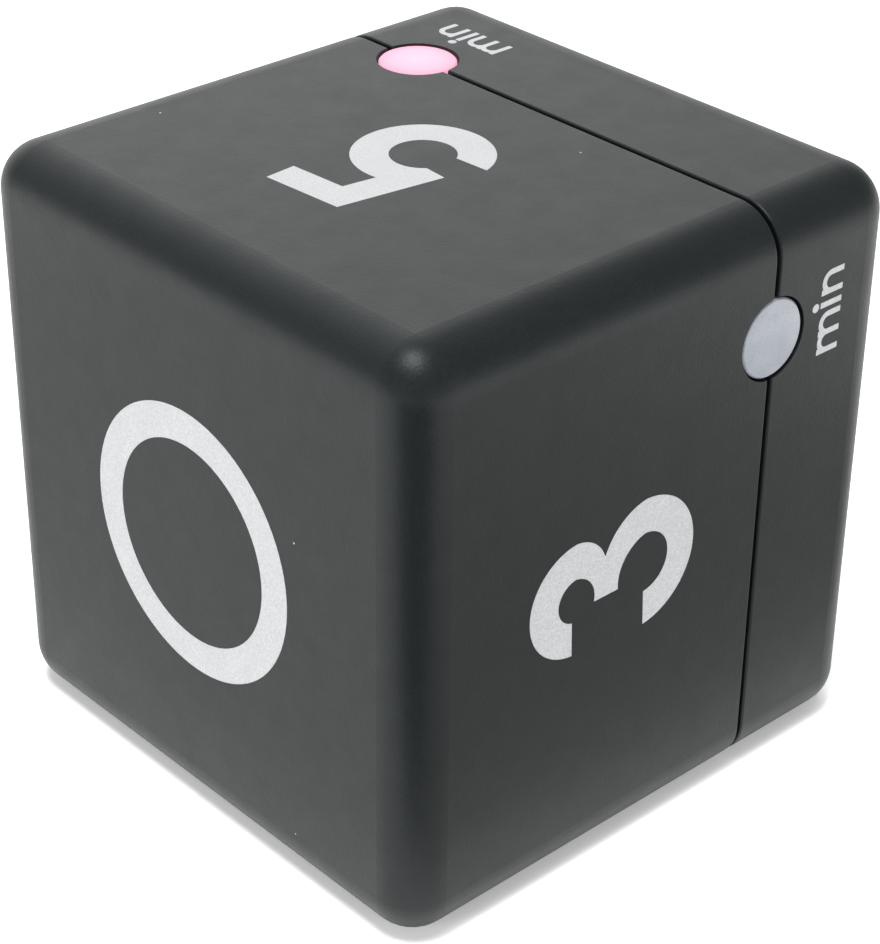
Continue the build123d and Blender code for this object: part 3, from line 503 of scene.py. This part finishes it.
# ======== Cells
# Two AAA cells lie side by side in the bay, opposite ways round. Each is a nickel-plated steel can
# in a printed plastic jacket that wraps a little way over its ends.


def jacketed_cell(name, nub_up):
    """A plain grey printed jacket with a pale band at the raised end, and bare metal ends."""
    lap = 0.9 * mm               # how far the jacket turns in over each flat end
    nub_height = 1.0 * mm
    band_width = 7 * mm
    low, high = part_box(name)
    middle = [(a + b) / 2 for a, b in zip(low, high)]
    direction = 1 if nub_up else -1
    body_length = high[2] - low[2] - nub_height
    body_middle = middle[2] - direction * nub_height / 2
    radius = (high[1] - low[1]) / 2
    ink_size = 0.3 * mm
    material, tree, place = start_material("film_printed_" + name)
    centre = (middle[0], middle[1], body_middle)
    offset = add(tree, "VectorMath", {"operation": "SUBTRACT"}, _0=place, _1=centre)
    flat = add(tree, "VectorMath", {"operation": "MULTIPLY"}, _0=offset, _1=(1, 1, 0))
    reach = add(tree, "VectorMath", {"operation": "LENGTH"}, _0=flat)
    along = add(tree, "SeparateXYZ", Vector=offset).outputs["Z"]
    towards_nub = add(tree, "Math", {"operation": "MULTIPLY"}, _0=along, _1=direction)
    band_start = body_length / 2 - band_width
    banded = add(tree, "Math", {"operation": "GREATER_THAN"}, _0=towards_nub, _1=band_start)
    bare = add(tree, "Math", {"operation": "LESS_THAN"}, _0=reach, _1=radius - lap)
    ink = add(tree, "TexNoise", Vector=place, Scale=1 / ink_size, Detail=2.0)
    grey = add(tree, "Mix", {"data_type": "RGBA"}, Factor=ink, A=linear("#42474F"), B=linear("#5B616A"))
    jacket = add(tree, "Mix", {"data_type": "RGBA"}, Factor=banded, A=grey, B=linear("#B9BEC6"))
    colour = add(tree, "Mix", {"data_type": "RGBA"}, Factor=bare, A=jacket, B=linear("#C9C7C0"))
    gloss = add(tree, "MapRange", Value=ink, From_Min=0.3, From_Max=0.7, To_Min=0.22, To_Max=0.32)
    shader = add(tree, "BsdfPrincipled", Base_Color=colour, Metallic=bare, Roughness=gloss)
    add(tree, "OutputMaterial", Surface=shader)
    return material


dress(jacketed_cell("cell_front", nub_up=True), "cell_front")
dress(jacketed_cell("cell_rear", nub_up=False), "cell_rear")

# ======== Battery contacts
# Stamped plates and coiled springs of nickel-plated steel. The plates stand against the ends of the
# bay, and two of them reach through its floor to the circuit board.


def nickel_plated_steel(name, line):
    """Nickel plating over rolled or drawn steel: warm white metal with fine lines one way."""
    material, tree, place = start_material(name)
    worked = add(tree, "VectorMath", {"operation": "DIVIDE"}, _0=place, _1=line)
    lines = add(tree, "TexNoise", Vector=worked, Scale=1.0, Detail=2.0)
    colour = add(tree, "Mix", {"data_type": "RGBA"}, Factor=lines, A=linear("#ADA99E"), B=linear("#E2DFD6"))
    gloss = add(tree, "MapRange", Value=lines, From_Min=0.3, From_Max=0.7, To_Min=0.14, To_Max=0.32)
    shader = add(tree, "BsdfPrincipled", Base_Color=colour, Metallic=1.0, Roughness=gloss)
    add(tree, "OutputMaterial", Surface=shader)
    return material


plate = nickel_plated_steel("steel_rolled_nickel", (4 * mm, 0.08 * mm, 4 * mm))
wire = nickel_plated_steel("steel_drawn_nickel", (0.3 * mm, 0.3 * mm, 0.06 * mm))
dress(plate, "positive_contact", "negative_contact", "bridge_contact")
dress(wire, "bridge_spring", "negative_spring")

# ======== Screws
# Four long screws hold the end cap on the shell and four short ones hold the board on its posts.
# All are self-tapping steel screws with cross recesses, zinc-plated by tumbling in a barrel.


def barrel_zinc_plated_steel():
    """Zinc plating: bluish silver, slightly cloudy, scuffed by the other screws in the barrel."""
    cloud_size = 0.9 * mm
    scuff_size = 0.15 * mm
    scuff_depth = 0.01 * mm
    material, tree, place = start_material("steel_zinc_plated")
    cloud = add(tree, "TexNoise", Vector=place, Scale=1 / cloud_size, Detail=4.0)
    scuff = add(tree, "TexNoise", Vector=place, Scale=1 / scuff_size, Detail=2.0, Distortion=2.0)
    colour = add(tree, "Mix", {"data_type": "RGBA"}, Factor=cloud, A=linear("#8F959D"), B=linear("#D0D4D9"))
    gloss = add(tree, "MapRange", Value=scuff, From_Min=0.3, From_Max=0.7, To_Min=0.24, To_Max=0.46)
    bump = add(tree, "Bump", Strength=0.25, Distance=scuff_depth, Height=scuff)
    shader = add(tree, "BsdfPrincipled", Base_Color=colour, Metallic=1.0, Roughness=gloss, Normal=bump)
    add(tree, "OutputMaterial", Surface=shader)
    return material


dress(barrel_zinc_plated_steel(), "case_screws", "board_screws")

# ======== Studio
# A white light table, with a large soft light above the cube and one on each side. A small bright
# light overhead glints on the near corner, and a tall window stands beyond the cube.

table = bpy.data.meshes.new("table_top")
table_half = 6.0
table_corners = [(x * table_half, y * table_half, 0) for x, y in ((-1, -1), (1, -1), (1, 1), (-1, 1))]
table.from_pydata(table_corners, [], [(0, 1, 2, 3)])
table = bpy.data.objects.new("table_top", table)
bpy.context.scene.collection.objects.link(table)


def matt_sheet(name, colour, glow=0.0):
    """Plain matt card or paper, lit from beneath where it glows."""
    material, tree, _ = start_material(name)
    shader = add(tree, "BsdfPrincipled", Base_Color=linear(colour), Roughness=0.8, Specular_IOR_Level=0.0,
                 Emission_Color=linear("#FFFFFF"), Emission_Strength=glow)
    add(tree, "OutputMaterial", Surface=shader)
    return material


table.data.materials.append(matt_sheet("paper_white", "#FAFAFA", glow=0.25))


light_distance = 1.2
cube_middle = Vector((0, 0, 0.03))


def soft_light(name, direction, size, watts, mirrored):
    """A square soft box that faces the cube's middle, and may be hidden from reflections."""
    light = bpy.data.lights.new(name, "AREA")
    light.size = size
    light.energy = watts
    lamp = bpy.data.objects.new(name, light)
    bpy.context.scene.collection.objects.link(lamp)
    towards = Vector(direction).normalized()
    lamp.location = cube_middle + towards * light_distance
    lamp.rotation_mode = "QUATERNION"
    lamp.rotation_quaternion = towards.to_track_quat("Z", "Y")
    lamp.visible_glossy = mirrored


soft_light("overhead", (-0.02, -0.05, 1.0), size=0.8, watts=9.5, mirrored=False)
soft_light("side_left", (-1.0, 0.0, 0.2), size=0.6, watts=9, mirrored=False)
soft_light("side_right", (0.0, -1.0, 0.2), size=0.5, watts=4.8, mirrored=False)
soft_light("spot", (-0.2, -0.1, 1.0), size=0.3, watts=9, mirrored=True)

# Cards lie on the table and show only as reflections in the case. The near corner's rounded edges
# reflect the black one, which draws them dark between paler faces.


def flag(name, colour, corners):
    """A flat card just above the table."""
    card_height = 0.4 * mm
    card = bpy.data.meshes.new(name)
    card.from_pydata([(x, y, card_height) for x, y in corners], [], [tuple(range(len(corners)))])
    card = bpy.data.objects.new(name, card)
    bpy.context.scene.collection.objects.link(card)
    card.visible_camera = False
    card.visible_diffuse = False
    card.visible_shadow = False
    card.data.materials.append(matt_sheet("card_" + name, colour))


near, far = 0.04, 0.13       # how far from the cube's middle the pale cards start and end
right_end = 0.7 * far
corner_reach = 0.35
flag("black_flag", "#0A0A0A", [(-near, -near), (-corner_reach, -near), (-corner_reach, -corner_reach),
                               (-near, -corner_reach)])
flag("left_flag", "#E0E0E0", [(-near, far), (-far, far), (-far, -near), (-near, -near)])
flag("right_flag", "#A0A0A0", [(-near, -near), (-near, -far), (right_end, -far), (right_end, -near)])

world = bpy.data.worlds.new("studio")
world.use_nodes = True
tree = world.node_tree
tree.nodes.clear()
direction = add(tree, "TexCoord").outputs["Generated"]
towards_window = add(tree, "VectorMath", {"operation": "DOT_PRODUCT"}, _0=direction,
                     _1=Vector((0.35, 0.8, 0.15)).normalized())
brightness = add(tree, "MapRange", Value=towards_window, From_Min=0.58, From_Max=1.0, To_Min=0.3,
                 To_Max=1.9)
rays = add(tree, "LightPath").outputs
window = add(tree, "Background", Color=linear("#FFFFFF"), Strength=brightness)
room = add(tree, "Background", Color=linear("#FFFFFF"), Strength=0.3)
backdrop = add(tree, "Background", Color=linear("#F2F2F2"), Strength=1.0)
lighting = add(tree, "MixShader", _0=rays["Is Glossy Ray"], _1=room, _2=window)
add(tree, "OutputWorld", Surface=add(tree, "MixShader", _0=rays["Is Camera Ray"], _1=lighting, _2=backdrop))
world.cycles.sampling_method = "NONE"
bpy.context.scene.world = world
bpy.context.scene.view_settings.view_transform = "Standard"

camera = bpy.data.objects.new("camera", bpy.data.cameras.new("camera"))
bpy.context.scene.collection.objects.link(camera)
camera.data.lens = 98.57
camera.data.sensor_width = 36.0
camera.data.clip_start = 0.01
forward = Vector((0.58219, 0.63053, -0.51331)).normalized()
up = Vector((0.33904, 0.38556, 0.85814))
right = forward.cross(up).normalized()
up = right.cross(forward)
camera.matrix_world = Matrix((
    (right.x, up.x, -forward.x, -0.15604),
    (right.y, up.y, -forward.y, -0.16978),
    (right.z, up.z, -forward.z, 0.16516),
    (0, 0, 0, 1),
))
bpy.context.scene.camera = camera
